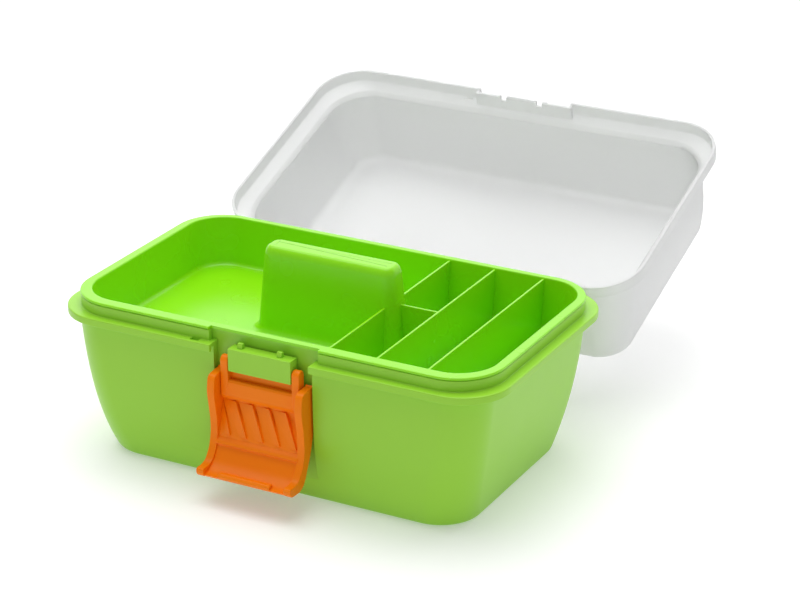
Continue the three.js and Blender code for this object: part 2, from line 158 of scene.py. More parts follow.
SIDE_GAP = 0.45
ARM_DEPTH = 7.0
ARM_LENGTH = 22.1
ARM_WIDTH = 5.4
ARM_INNER = BLOCK_HALF + SIDE_GAP
ARM_OUTER = ARM_INNER + ARM_WIDTH
CHEEK_WIDTH = 5.2
CHEEK_INNER = ARM_OUTER + SIDE_GAP
CHEEK_OUTER = CHEEK_INNER + CHEEK_WIDTH
STUD_RADIUS = 2.0
STUD_LENGTH = 3.4
BITE = 1.0
BAR_TOP = 12.2
TIE_TOP = 7.4
TIE_FRONT = 1.2
TIE_THICK = 2.1
LIP_HALF = 18.5

CORNER_STEPS = 20
SHARP_ANGLE = 40


# ---- mesh building ---------------------------------------------------------------------------
def object_of(name, bm):
    """A new object from a bmesh in millimetres."""
    bmesh.ops.remove_doubles(bm, verts=bm.verts, dist=1e-4)
    bmesh.ops.recalc_face_normals(bm, faces=bm.faces)
    mesh = bpy.data.meshes.new(name)
    bm.to_mesh(mesh)
    bm.free()
    obj = bpy.data.objects.new(name, mesh)
    bpy.context.scene.collection.objects.link(obj)
    return obj


def section(z, a, b, r, x=0.0, y=0.0):
    """A rounded rectangle at height z: half sizes a and b, corner radius r, centre x and y."""
    return np.array((z, a, b, r, x, y), float)


def rect(z, inset_x, inset_y, r):
    """A section that lies inside the rim's outline by two insets."""
    return section(z, RIM_X - inset_x, RIM_Y - inset_y, r)


def shrink(s, d, z=None):
    """A section drawn in by d on every side, at its own height or at z."""
    return section(s[0] if z is None else z, s[1] - d, s[2] - d, max(1.0, s[3] - d), s[4], s[5])


def soften(path, steps=5):
    """A path is a list of (section, reach). One with a reach becomes an arc between its neighbours."""
    result = []
    for i, (here, reach) in enumerate(path):
        if not reach:
            result.append(here)
            continue
        legs = [path[i + side][0] - here for side in (-1, 1)]
        sizes = [max(1e-6, math.hypot(leg[0], leg[1])) for leg in legs]
        start, end = (here + leg * min(0.5, reach / size) for leg, size in zip(legs, sizes))
        cosine = (legs[0][0] * legs[1][0] + legs[0][1] * legs[1][1]) / (sizes[0] * sizes[1])
        weight = math.sqrt(max(0.0, (1 - cosine) / 2))
        for k in range(steps + 1):
            t = k / steps
            shares = ((1 - t) ** 2, 2 * weight * t * (1 - t), t * t)
            result.append((start * shares[0] + here * shares[1] + end * shares[2]) / sum(shares))
    return result


def ring_points(s, steps):
    """The outline of a section, with steps along each round corner."""
    z, a, b, r, x, y = s
    points = []
    for quarter, (sx, sy) in enumerate(((1, 1), (-1, 1), (-1, -1), (1, -1))):
        for i in range(steps + 1):
            t = (quarter + i / steps) * math.pi / 2
            points.append((x + sx * (a - r) + r * math.cos(t), y + sy * (b - r) + r * math.sin(t), z))
    return points


def loft(name, sections, steps=CORNER_STEPS):
    """A closed body through a stack of sections, which may turn back on itself."""
    bm = bmesh.new()
    rings = [[bm.verts.new(p) for p in ring_points(s, steps)] for s in sections]
    for low, high in zip(rings, rings[1:]):
        for i in range(len(low)):
            j = (i + 1) % len(low)
            bm.faces.new((low[i], low[j], high[j], high[i]))
    bm.faces.new(rings[0][::-1])
    bm.faces.new(rings[-1])
    return object_of(name, bm)


def bevel_sharp(bm, width):
    """Rounds every edge whose faces meet at more than SHARP_ANGLE degrees."""
    sharp = math.radians(SHARP_ANGLE)
    edges = [e for e in bm.edges if len(e.link_faces) == 2 and e.calc_face_angle(0) > sharp]
    bmesh.ops.bevel(
        bm, geom=edges, offset=width, segments=3, profile=0.5, affect="EDGES", clamp_overlap=True
    )


def prism(name, outline, x0, x1, bevel=0.0):
    """A side outline of (y, z) points drawn out along X, with its sharp edges rounded."""
    bm = bmesh.new()
    ends = [[bm.verts.new((x, y, z)) for y, z in outline] for x in (x0, x1)]
    for i in range(len(outline)):
        j = (i + 1) % len(outline)
        bm.faces.new((ends[0][i], ends[0][j], ends[1][j], ends[1][i]))
    bm.faces.new(ends[0][::-1])
    bm.faces.new(ends[1])
    bmesh.ops.recalc_face_normals(bm, faces=bm.faces)
    if bevel:
        bevel_sharp(bm, bevel)
    return object_of(name, bm)


def box(name, x0, x1, y0, y1, z0, z1, bevel=0.0):
    """A block between two places on each axis."""
    return prism(name, [(y0, z0), (y1, z0), (y1, z1), (y0, z1)], x0, x1, bevel)


def circle(y, z, radius, start=0.0, end=360.0, steps=32):
    """Points (y, z) on a circle, or on the arc of it between two angles in degrees."""
    closed = abs(end - start) >= 360
    count = steps if closed else steps + 1
    angles = [math.radians(start + (end - start) * i / steps) for i in range(count)]
    return [(y + radius * math.cos(t), z + radius * math.sin(t)) for t in angles]


def rod(name, radius, x0, x1, y, z, bevel=0.0):
    """A round bar along X."""
    return prism(name, circle(y, z, radius), x0, x1, bevel)


def curve_through(points, per_span=4, closed=True):
    """A smooth line through points, as a Catmull-Rom spline."""
    count = len(points)
    result = []
    for i in range(count if closed else count - 1):
        near = [i + k for k in (-1, 0, 1, 2)]
        span = [points[k % count if closed else min(max(k, 0), count - 1)] for k in near]
        for step in range(per_span):
            t = step / per_span
            weights = (
                -0.5 * t + t * t - 0.5 * t**3,
                1 - 2.5 * t * t + 1.5 * t**3,
                0.5 * t + 2 * t * t - 1.5 * t**3,
                -0.5 * t * t + 0.5 * t**3,
            )
            result.append(tuple(sum(w * p[axis] for w, p in zip(weights, span)) for axis in (0, 1)))
    return result if closed else result + [points[-1]]


def combine(target, operation, others):
    """Joins, cuts or trims target with the others, which are used up."""
    for other in others:
        modifier = target.modifiers.new("combine", "BOOLEAN")
        modifier.operation = operation
        modifier.solver = "MANIFOLD"
        modifier.object = other
        bake(target)
        bpy.data.objects.remove(other)
    return target


def bake(obj):
    """Applies the modifiers of obj to its mesh."""
    shown = obj.evaluated_get(bpy.context.evaluated_depsgraph_get())
    mesh = bpy.data.meshes.new_from_object(shown)
    obj.modifiers.clear()
    obj.data = mesh


def edit(obj, change):
    """Lets a function change the mesh of obj."""
    bm = bmesh.new()
    bm.from_mesh(obj.data)
    change(bm)
    bm.to_mesh(obj.data)
    bm.free()


def finish_piece(obj, material, body, nodes, move=None):
    """Scales a piece to metres, smooths it and puts it in place of its CAD nodes."""
    matrix = Matrix.Scale(MM, 4)
    if move is not None:
        matrix = matrix @ move
    edit(obj, lambda bm: bmesh.ops.dissolve_degenerate(bm, dist=1e-4, edges=bm.edges))
    obj.data.transform(matrix)
    for polygon in obj.data.polygons:
        polygon.use_smooth = True
    obj.data.set_sharp_from_angle(angle=math.radians(32))
    modifier = obj.modifiers.new("flat faces stay flat", "WEIGHTED_NORMAL")
    modifier.keep_sharp = True
    bake(obj)
    obj.data.materials.clear()
    obj.data.materials.append(material)
    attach(obj, body)
    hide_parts(*nodes)
    return obj


# ---- materials -------------------------------------------------------------------------------
class Nodes:
    """A short way to write a node tree."""

    def __init__(self, material):
        self.tree = material.node_tree
        self.shader = self.tree.nodes["Principled BSDF"]
        self.place = self.add("ShaderNodeTexCoord").outputs["Object"]

    def add(self, kind, inputs=None, **settings):
        """A new node. An input is given as a link or a constant."""
        node = self.tree.nodes.new(kind)
        for key, value in settings.items():
            setattr(node, key, value)
        for key, value in (inputs or {}).items():
            self.set(node.inputs[key], value)
        return node

    def set(self, socket, value):
        if isinstance(value, bpy.types.NodeSocket):
            self.tree.links.new(value, socket)
        else:
            socket.default_value = value

    def noise(self, scale, detail=2.0, stretch=None, turn=(0, 0, 0)):
        """Noise in the piece's own space, which stretch and turn draw out into streaks."""
        place = self.place
        if stretch:
            mapping = self.add("ShaderNodeMapping", {"Vector": place, "Scale": stretch, "Rotation": turn})
            place = mapping.outputs["Vector"]
        made = self.add("ShaderNodeTexNoise", {"Vector": place, "Scale": scale, "Detail": detail})
        return made.outputs["Fac"]

    def remap(self, value, low, high, to_low, to_high):
        inputs = {"Value": value, "From Min": low, "From Max": high, "To Min": to_low, "To Max": to_high}
        return self.add("ShaderNodeMapRange", inputs).outputs["Result"]

    def math(self, operation, a, b):
        return self.add("ShaderNodeMath", {0: a, 1: b}, operation=operation).outputs[0]

    def mix(self, share, a, b):
        node = self.add("ShaderNodeMix", data_type="RGBA")
        colours = [s for s in node.inputs if s.type == "RGBA"]
        self.set(node.inputs[0], share)
        self.set(colours[0], a)
        self.set(colours[1], b)
        return [s for s in node.outputs if s.type == "RGBA"][0]

    def height(self):
        return self.add("ShaderNodeSeparateXYZ", {0: self.place}).outputs["Z"]


def moulded_plastic(name, deep, pale, gloss, grain, shine=0.5, see_through=0.0):
    """Moulded plastic with a slightly cloudy colour, flow waves, fine grain and faint hairline scuffs."""
    material = bpy.data.materials.new(name)
    material.use_nodes = True
    n = Nodes(material)
    cloud = n.remap(n.noise(9, 2), 0.2, 0.8, 0.0, 1.0)
    colour = n.mix(cloud, (*deep, 1), (*pale, 1))
    scratch = n.remap(n.noise(60, 2, (1, 14, 1), (0.3, 0.2, 0.7)), 0.68, 0.72, 0.0, 1.0)
    patch = n.remap(n.noise(14, 2), 0.54, 0.66, 0.0, 1.0)
    scuffs = n.math("MULTIPLY", scratch, patch)
    foot = n.remap(n.height(), 0.0005, 0.0025, 1.0, 0.0)
    worn = n.math("MULTIPLY", foot, n.remap(n.noise(220, 4), 0.48, 0.66, 0.0, 0.5))
    whitened = tuple(0.3 + 0.6 * c for c in pale)
    rubbed = n.math("ADD", n.math("MULTIPLY", scuffs, 0.006), n.math("MULTIPLY", worn, 0.1))
    colour = n.mix(rubbed, colour, (*whitened, 1))
    smear = n.remap(n.noise(26, 2), 0.2, 0.8, gloss - 0.02, gloss + 0.03)
    rough = n.math("ADD", smear, n.math("MULTIPLY", n.math("ADD", scuffs, worn), 0.015))
    fine = n.math("MULTIPLY", n.noise(1500, 2), grain)
    surface = n.math("ADD", n.noise(22, 1), fine)
    bump = n.add("ShaderNodeBump", {"Height": surface, "Strength": 0.15, "Distance": 0.00015})
    n.set(n.shader.inputs["Base Color"], colour)
    n.set(n.shader.inputs["Roughness"], rough)
    n.set(n.shader.inputs["Normal"], bump.outputs["Normal"])
    n.set(n.shader.inputs["IOR"], 1.49)
    n.set(n.shader.inputs["Specular IOR Level"], shine)
    n.set(n.shader.inputs["Transmission Weight"], see_through)
    return material


def pin_steel():
    """Drawn steel, with streaks along the pin."""
    material = bpy.data.materials.new("pin_steel")
    material.use_nodes = True
    n = Nodes(material)
    streaks = n.noise(90, 3, (1, 30, 30))
    colour = n.mix(n.remap(streaks, 0.35, 0.65, 0.0, 1.0), (0.5, 0.51, 0.53, 1), (0.68, 0.69, 0.7, 1))
    bump = n.add("ShaderNodeBump", {"Height": streaks, "Strength": 0.3, "Distance": 0.0001})
    n.set(n.shader.inputs["Base Color"], colour)
    n.set(n.shader.inputs["Roughness"], n.remap(streaks, 0.3, 0.7, 0.22, 0.42))
    n.set(n.shader.inputs["Normal"], bump.outputs["Normal"])
    n.set(n.shader.inputs["Metallic"], 1.0)
    return material


lime = moulded_plastic("lime_plastic", (0.315, 0.66, 0.034), (0.325, 0.68, 0.038), 0.34, 0.008, 0.4)
# The tray's lime is a copy of the tub's lime, made brighter and more saturated: painted bounce light,
# standing in for the light that bounces around the tray's well.
lime_painted_bounce = moulded_plastic(
    "bright_lime_plastic", (0.275, 0.75, 0.003), (0.285, 0.77, 0.004), 0.26, 0.006, 0.45
)
frosted = moulded_plastic(
    "frosted_plastic", (0.93, 0.935, 0.935), (0.95, 0.955, 0.955), 0.42, 0.012, see_through=0.5
)
orange = moulded_plastic("orange_plastic", (0.95, 0.215, 0.0006), (0.98, 0.23, 0.0008), 0.36, 0.02, 0.18)
steel = pin_steel()


# ---- tub -------------------------------------------------------------------------------------
def mix(a, b, t):
    return a + (b - a) * t


def tub_wall(z):
    """The tub's outside below the flange, which swells out from the base."""
    s = z / WALL_TOP
    swell = [1 - (1 - s) ** power for power in SWELL]
    insets = [mix(BASE_INSET[k], WALL_INSET[k], swell[k]) for k in (0, 1)]
    return rect(z, *insets, mix(BASE_CORNER, WALL_CORNER, s))


def plain(sections):
    """A stretch of a path that needs no softening."""
    return [(s, 0) for s in sections]


def tub_outside():
    foot = []
    for i in range(7):
        t = math.radians(15 * i)
        foot.append(shrink(tub_wall(FOOT_RADIUS * (1 - math.cos(t))), FOOT_RADIUS * (1 - math.sin(t))))
    wall = [tub_wall(mix(FOOT_RADIUS, WALL_TOP, (i / 24) ** 1.5)) for i in range(1, 24)]
    return plain([*foot, *wall]) + [(tub_wall(WALL_TOP), 0.6)]


def neck(z, d=0.0):
    """The neck inside the tray's ring, or a section d inside it."""
    inset = (RIM_X - RING_X, RIM_Y - RING_Y)
    return shrink(rect(z, *inset, RING_CORNER), GAP + d)


def flange():
    edge = rect(TUB_HEIGHT, 0, 0, RIM_CORNER)
    low = TUB_HEIGHT - FLANGE_EDGE
    return [
        (shrink(edge, TUB_WALL, WALL_TOP), 0.5),
        (shrink(edge, TUB_WALL, low), 0.5),
        (shrink(edge, 0, low), 0.6),
        (edge, 0.8),
        (neck(TUB_HEIGHT), 0.4),
        (neck(NECK_TOP), 0.6),
    ]


def tub_inside():
    path = [(neck(NECK_TOP, TUB_WALL), 0.6), (neck(TUB_HEIGHT - 0.6, TUB_WALL), 0)]
    low, high = TUB_FLOOR + 4.2, WALL_TOP - 2
    path += plain(shrink(tub_wall(mix(high, low, (i / 16) ** 0.8)), TUB_WALL) for i in range(17))
    floor = shrink(tub_wall(TUB_FLOOR), TUB_WALL)
    return path + [(floor, 3.6), (shrink(floor, 9), 0)]


def barrel_outline(web):
    """The side view of a hinge barrel with the web that joins it to a rim."""
    return circle(HINGE_Y, HINGE_Z, KNUCKLE_RADIUS, -150, 90, 22) + web


def tub_hinges():
    """Two knuckles on each side, with room for the lid's between them."""
    pieces = []
    web = [
        (RIM_Y - TUB_WALL / 2, HINGE_Z + KNUCKLE_RADIUS - GAP),
        (RIM_Y - TUB_WALL / 2, TUB_HEIGHT - FLANGE_EDGE),
    ]
    for side in (-1, 1):
        for offset in (-1, 1):
            x = side * HINGE_X + offset * (KNUCKLE_LENGTH + GAP)
            half = KNUCKLE_LENGTH / 2
            pieces.append(prism("knuckle", barrel_outline(web), x - half, x + half, 0.4))
    return pieces


def latch_block():
    """The block that carries the latch, the web behind it and the two pegs on top."""
    top = TUB_HEIGHT
    low = top - BLOCK_HEIGHT
    block = box("block", -BLOCK_HALF, BLOCK_HALF, BLOCK_FRONT_Y, BLOCK_BACK_Y, low, top, 0.55)
    web = box("web", 2 - BLOCK_HALF, BLOCK_HALF - 2, BLOCK_BACK_Y - 1, RECESS_Y + 0.5, low + 1, top - 6)
    outline = [
        (PEG_Y, top - 1),
        (PEG_Y, top + 1.2),
        (PEG_Y + 1.1, top + PEG_HEIGHT),
        (PEG_Y + PEG_DEPTH - 1, top + PEG_HEIGHT),
        (PEG_Y + PEG_DEPTH, top + PEG_HEIGHT - 1.2),
        (PEG_Y + PEG_DEPTH, top - 1),
    ]
    half = PEG_WIDTH / 2
    pegs = [prism("peg", outline, x - half, x + half, 0.4) for x in PEG_PLACES]
    return combine(block, "UNION", [web, *pegs])


def latch_recess(grow, top):
    """The latch recess, wider above the flange, where the tray's ring steps back too.

    Grown by the wall it is the lining of the recess, and as it is, the space inside.
    """
    back = RECESS_Y + grow * 0.93
    parts = [
        box("recess", -half - grow, half + grow, -RIM_Y - 1, back, low, top)
        for half, low in ((RECESS_HALF, FOOT_RADIUS), (RING_STEP_HALF, TUB_HEIGHT - grow))
    ]
    return combine(parts[0], "UNION", parts[1:])


def make_tub():
    outside = tub_outside() + flange()
    filled = loft("filled", soften(outside + [(neck(NECK_TOP, TUB_WALL), 0)]))
    tub = loft("tub_shell", soften(outside + tub_inside()))
    liner = combine(latch_recess(TUB_WALL, NECK_TOP), "INTERSECT", [filled])
    combine(tub, "UNION", [liner])
    combine(tub, "DIFFERENCE", [latch_recess(0, NECK_TOP + 1)])
    slot = box(
        "slot",
        SLOT_X - SLOT_HALF,
        SLOT_X + SLOT_HALF,
        SLOT_INSET - RIM_Y,
        GAP - RING_Y,
        TUB_HEIGHT - SLOT_DEPTH,
        TUB_HEIGHT + 1,
    )
    stud_hole = rod("hole", STUD_RADIUS + GAP, -BLOCK_HALF - 1, BLOCK_HALF + 1, PIVOT_Y, PIVOT_Z)
    pin_hole = rod("hole", PIN_RADIUS + GAP, -RIM_X, RIM_X, HINGE_Y, HINGE_Z)
    combine(tub, "DIFFERENCE", [slot])
    combine(tub, "UNION", [latch_block(), *tub_hinges()])
    combine(tub, "DIFFERENCE", [stud_hole, pin_hole])
    return finish_piece(tub, lime, "box", ["tub"])


# ---- tray ------------------------------------------------------------------------------------
def ring(z):
    """The outside of the tray's ring."""
    return rect(z, RIM_X - RING_X, RIM_Y - RING_Y, RING_CORNER)


def well(z, wall, drop=0.0):
    """The tray's well, which tapers down: its inside, or a section a wall outside it."""
    inset = WELL_DRAFT * (RING_TOP - z) / WELL_DEPTH + drop - wall
    return section(
        z,
        RING_X - RING_WIDTH - inset,
        RING_Y - RING_WIDTH - inset,
        RING_CORNER - RING_WIDTH - inset,
        0.0,
        WELL_SHIFT,
    )


def handle(z, grow):
    """A section of the grip, grown from its size at the ring's height."""
    r = HANDLE_HALF[1] + grow - 2.5
    return section(z, HANDLE_HALF[0] + grow, HANDLE_HALF[1] + grow, r, *HANDLE_CENTRE)


def handle_path(d):
    """The grip: it flares into the tray's floor, leans in a little and has a full round top."""
    top = HANDLE_TOP - d
    path = [(handle(WELL_FLOOR - 1, 9 - d), 0)] if d else []
    path += [
        (handle(WELL_FLOOR, 7.5 - d), 0),
        (handle(WELL_FLOOR + 0.6, 5.6 - d), 0),
        (handle(WELL_FLOOR + 2, 4.1 - d), 0),
        (handle(WELL_FLOOR + 5, 2.9 - d), 0),
        (handle(WELL_FLOOR + 14, 2 - d), 0),
        (handle(RING_TOP, -d), 0),
        (handle(RING_TOP + 12, -1.2 - d), 0),
        (handle(top, -2.6 - d), 6.5),
        (handle(top, -9.3 - d), 0),
    ]
    return path


def smooth_stack(sections):
    """More sections between the given ones, on smooth lines through them."""
    steps = 3
    result = []
    last = len(sections) - 1
    for i in range(last):
        p0, p1, p2, p3 = (sections[min(max(i + k, 0), last)] for k in (-1, 0, 1, 2))
        for step in range(steps):
            t = step / steps
            result.append(
                0.5
                * (
                    2 * p1
                    + (p2 - p0) * t
                    + (2 * p0 - 5 * p1 + 4 * p2 - p3) * t * t
                    + (3 * p1 - p0 - 3 * p2 + p3) * t**3
                )
            )
    return result + [sections[last]]


def grip(name, d):
    """The grip's outside, or the hollow d inside it. Its top two sections stay as they are."""
    path = handle_path(d)
    sides = smooth_stack([s for s, _ in path[:-2]])
    return loft(name, soften(plain(sides) + path[-2:], 9), 14)


def divider(x0, x1, y0, y1):
    return box("divider", x0, x1, y0, y1, WELL_FLOOR - TRAY_WALL / 2, DIVIDER_TOP, 0.45)


def make_tray():
    lip = [(ring(RING_TOP - RING_PLATE), 0.5), (ring(RING_TOP), 0.7)]
    outside = [
        (well(WELL_FLOOR - TRAY_WALL, TRAY_WALL, 9), 0),
        (well(WELL_FLOOR - TRAY_WALL, TRAY_WALL), 3.6),
        (well(RING_TOP - RING_PLATE, TRAY_WALL), 0.5),
    ]
    inside = [(well(RING_TOP, 0), 1.0), (well(WELL_FLOOR, 0), 3.0), (well(WELL_FLOOR, 0, 9), 0)]
    tray = loft("tray_shell", soften(outside + lip + inside, 6))
    heights = (WELL_FLOOR - TRAY_WALL / 2, DIVIDER_TOP + 0.2)
    filled = loft("filled", [well(z, TRAY_WALL / 2) for z in heights])
    half = DIVIDER_WALL / 2
    across = (SHORT_DIVIDER_X, MIDDLE_DIVIDER_X, END_DIVIDER_X)
    walls = [divider(x - half, x + half, -RIM_Y, RIM_Y) for x in across]
    cross = (CROSS_DIVIDER_Y - half, CROSS_DIVIDER_Y + half)
    walls.append(divider(HANDLE_CENTRE[0], MIDDLE_DIVIDER_X, *cross))
    dividers = combine(walls[0], "UNION", walls[1:])
    combine(dividers, "INTERSECT", [filled])
    combine(tray, "UNION", [dividers, grip("grip", 0.0)])
    step = box(
        "step", -RING_STEP_HALF, RING_STEP_HALF, -RIM_Y, RING_STEP_DEPTH - RING_Y, NECK_TOP, RING_TOP + 1
    )
    combine(tray, "DIFFERENCE", [grip("hollow", HANDLE_WALL), step])
    # The tray takes the lime copy with painted bounce light in its colour.
    return finish_piece(tray, lime_painted_bounce, "tray_body", ["tray"])


# ---- lid, made closed and then turned to its open rest ------------------------------------------
def lid_wall(w):
    """The lid's outside at w above its rim, straight up to the shoulder and then drawn in."""
    s = min(1.0, max(0.0, (w - SHOULDER_TOP) / (LID_DEPTH - SHOULDER_TOP)))
    insets = [mix(LID_INSET[k], LID_TOP_INSET[k], s**2.2) for k in (0, 1)]
    return rect(RIM_Z + w, *insets, mix(RIM_CORNER - 3.7, LID_TOP_CORNER, s))


def lid_walls(d, top):
    return plain(shrink(lid_wall(mix(SHOULDER_TOP, top, i / 14)), d) for i in range(15))


def lid_outside():
    rim = rect(RIM_Z, 0, 0, RIM_CORNER)
    shoulder = shrink(lid_wall(SKIRT_HEIGHT), -2.2, RIM_Z + SHOULDER_LOW)
    top = lid_wall(LID_DEPTH)
    return [
        (rim, 0.6),
        (shrink(rim, 0, RIM_Z + SKIRT_HEIGHT), 0.8),
        (shoulder, 2.0),
        *lid_walls(0, LID_DEPTH - LID_CROWN - 2),
        (top, LID_CROWN + 1),
        (shrink(top, 24), 0),
    ]


def lid_inside():
    rim = rect(RIM_Z, 0, 0, RIM_CORNER)
    ledge = shrink(lid_wall(SKIRT_HEIGHT), -0.6, RIM_Z + SHOULDER_LOW - 0.45)
    top = shrink(lid_wall(LID_DEPTH), LID_WALL, RIM_Z + LID_DEPTH - LID_WALL)
    return [
        (shrink(top, 24), 0),
        (top, LID_CROWN + 7),
        *lid_walls(LID_WALL, LID_DEPTH - LID_CROWN - 9)[::-1],
        (ledge, 0.7),
        (shrink(rim, SKIRT_WALL + 0.4, RIM_Z + SKIRT_HEIGHT - 0.55), 0.7),
        (shrink(rim, SKIRT_WALL), 0.5),
    ]


def lid_hinges():
    """A knuckle on each side, on an arm from the skirt."""
    arm = [
        (RIM_Y + 3, RIM_Z + SKIRT_HEIGHT - 1),
        (RIM_Y - 1, RIM_Z + SKIRT_HEIGHT - 1),
        (RIM_Y - 1, RIM_Z + GAP / 3),
        (RIM_Y + 2 * GAP, RIM_Z + GAP / 3),
    ]
    outline = circle(HINGE_Y, HINGE_Z, KNUCKLE_RADIUS, -180, 30, 20) + arm
    half = KNUCKLE_LENGTH / 2
    return [prism("knuckle", outline, x - half, x + half, 0.4) for x in (-HINGE_X, HINGE_X)]


def peg_slot(x):
    """A slot in the set-back's wall that takes one of the block's pegs when the lid is closed."""
    half = PEG_WIDTH / 2 + 2 * GAP
    back = PEG_Y + PEG_DEPTH + 2 * GAP
    return box("slot", x - half, x + half, -RIM_Y, back, RIM_Z - 1, TUB_HEIGHT + PEG_HEIGHT + 2 * GAP)


def make_lid():
    filled = loft("filled", soften(lid_outside()))
    lid = loft("lid_shell", soften(lid_inside() + lid_outside()))
    set_back = NOTCH_DEPTH - RIM_Y
    wide = NOTCH_HALF + LID_WALL
    liner = box("liner", -wide, wide, -RIM_Y, set_back + LID_WALL, RIM_Z, RIM_Z + NOTCH_HEIGHT + LID_WALL)
    combine(liner, "INTERSECT", [filled])
    combine(lid, "UNION", [liner])
    notch = box("notch", -NOTCH_HALF, NOTCH_HALF, -RIM_Y - 1, set_back, RIM_Z - 1, RIM_Z + NOTCH_HEIGHT)
    combine(lid, "DIFFERENCE", [notch])
    pocket_y = (inset - RIM_Y for inset in POCKET_INSET)
    pocket_z = (RIM_Z + height for height in POCKET_HEIGHT)
    pocket = box("pocket", *POCKET_X, *pocket_y, *pocket_z)
    keeper_y = (set_back - KEEPER_PROUD, set_back + BITE)
    keeper = box("keeper", -KEEPER_HALF, KEEPER_HALF, *keeper_y, RIM_Z, RIM_Z + KEEPER_HEIGHT, 0.2)
    combine(lid, "UNION", [keeper, *lid_hinges()])
    combine(lid, "DIFFERENCE", [pocket, *(peg_slot(x) for x in PEG_PLACES)])
    pin_hole = rod("hole", PIN_RADIUS + GAP, -RIM_X, RIM_X, HINGE_Y, HINGE_Z)
    combine(lid, "DIFFERENCE", [pin_hole])
    axis = Vector((0, HINGE_Y, HINGE_Z))
    turn = Matrix.Rotation(-math.radians(LID_OPEN), 4, "X")
    opened = Matrix.Translation(axis) @ turn @ Matrix.Translation(-axis)
    return finish_piece(lid, frosted, "lid_body", ["lid"], opened)


# ---- latch -----------------------------------------------------------------------------------
def along(side, inner, outer):
    """The low and high x of what lies between two distances on the left (-1) or right (1) side."""
    return sorted((side * inner, side * outer))


def make_link():
    r = ARM_DEPTH / 2
    front = PIVOT_Y - r
    low = PIVOT_Z - ARM_LENGTH - r + 0.4
    high = PIVOT_Z - BAR_TOP
    arm = circle(PIVOT_Y, PIVOT_Z, r, 0, 180, 18) + circle(PIVOT_Y, PIVOT_Z - ARM_LENGTH, r, 180, 360, 18)
    bar = [
        (front + 1.4, high),
        (front + 0.4, high - 1.6),
        (front + 0.2, low + 3),
        (front + 1.6, low),
        (front + 4.8, low),
        (front + 4.8, high),
    ]
    reach = ARM_INNER + BITE
    link = prism("latch_link_piece", bar, -reach, reach, 0.5)
    tie_front = PIVOT_Y + TIE_FRONT
    tie = (tie_front, tie_front + TIE_THICK, high - BITE, PIVOT_Z - TIE_TOP)
    others = [box("tie", -reach, reach, *tie, 0.4)]
    for side in (-1, 1):
        others.append(prism("arm", arm, *along(side, ARM_INNER, ARM_OUTER), 0.9))
        block_stud = along(side, ARM_INNER - STUD_LENGTH, ARM_INNER + BITE)
        others.append(rod("stud", STUD_RADIUS, *block_stud, PIVOT_Y, PIVOT_Z, 0.3))
        lever_stud = along(side, ARM_OUTER - BITE, ARM_OUTER + STUD_LENGTH)
        others.append(rod("stud", STUD_RADIUS, *lever_stud, PIVOT_Y, LEVER_Z, 0.3))
    combine(link, "UNION", others)
    return finish_piece(link, orange, "link_body", ["latch_link"])


def lever(points):
    """Outlines of the lever are drawn from its pivot."""
    return [(PIVOT_Y + y, LEVER_Z + z) for y, z in points]


CHEEK = lever(
    [
        (4.4, 5.6),
        (2.6, 6.8),
        (-1.5, 6.8),
        (-6.5, 6.2),
        (-9.2, 4.2),
        (-10.4, -1.9),
        (-10.5, -6.4),
        (-9.2, -14.9),
        (-8, -23.4),
        (-7.8, -31.9),
        (-9.1, -38.9),
        (-11.1, -43.9),
        (-15.1, -48.9),
        (-20.1, -50.6),
        (-24.9, -50.7),
        (-26, -52.4),
        (-25.4, -54.9),
        (-23.1, -56.6),
        (-17.6, -57.1),
        (-12.6, -56.7),
        (-8.1, -53.4),
        (-4, -45.4),
        (-0.2, -37.4),
        (2.6, -27.9),
        (4, -20.9),
    ]
)
PANEL_FRONT = [(0, -11.4), (0.1, -16.9), (-2, -22.4), (-4.2, -27.6), (-6.2, -34.6)]
RIDGE = [(-6.3, -35.6), (-8.3, -37), (-9.5, -38.2), (-9.6, -39.4), (-8.6, -40.2), (-8.6, -41.6)]
PANEL_TRAY = [(-9.9, -44.2), (-12.2, -48), (-15.5, -51), (-20.6, -53.6), (-25.2, -54.6)]
PANEL_BACK = [
    (-23.1, -56.6),
    (-17.6, -57.1),
    (-14.2, -56.2),
    (-9.6, -50),
    (-6.2, -42.9),
    (-4.2, -37.4),
    (-2.1, -28.6),
    (0.1, -23.4),
    (2, -17.5),
    (1.4, -11.4),
]
LIP_BAR = lever([(-20.6, -54.3), (-21, -52), (-24.4, -51.6), (-25.9, -53), (-25.2, -55), (-22, -56)])
TILES = 5
TILE_PITCH = 12.0
TILE_GAP = 1.0
TILE_LEAN = 10.6
TILE_LOW_X = -20.1
TILE_SPAN = ((0.3, -12.6), (-5.5, -33.6))
TILE_CREST = 4.2
TILE_RISES = (0.2, 0.6, 1.9)
TILE_ROOT = -1.2


def tile(index):
    """One slanted wedge of the panel's grip, highest along its right edge."""
    (y_top, z_top), (y_low, z_low) = lever(TILE_SPAN)
    normal = Vector((z_top - z_low, y_low - y_top)).normalized()
    out = -normal if normal.x > 0 else normal
    limit = CHEEK_INNER + 0.4
    bm = bmesh.new()
    rows = []
    for y, z, lean in ((y_top, z_top, TILE_LEAN), (y_low, z_low, 0.0)):
        right = TILE_LOW_X + TILE_PITCH * index - lean
        places = (right - TILE_PITCH + TILE_GAP, right - TILE_CREST, right)
        for place, rise in zip(places, TILE_RISES):
            x = min(max(place, -limit), limit)
            rows.append([bm.verts.new((x, y + out.x * h, z + out.y * h)) for h in (TILE_ROOT, rise)])
    upper, lower = rows[:3], rows[3:]
    for (p, q), (r, t) in zip(zip(upper, upper[1:]), zip(lower, lower[1:])):
        bm.faces.new((p[1], q[1], t[1], r[1]))
        bm.faces.new((p[0], r[0], t[0], q[0]))
        bm.faces.new((p[0], q[0], q[1], p[1]))
        bm.faces.new((r[0], r[1], t[1], t[0]))
    for end in (0, 2):
        bm.faces.new((upper[end][0], upper[end][1], lower[end][1], lower[end][0]))
    bmesh.ops.recalc_face_normals(bm, faces=bm.faces)
    bevel_sharp(bm, 0.35)
    return object_of("tile", bm)


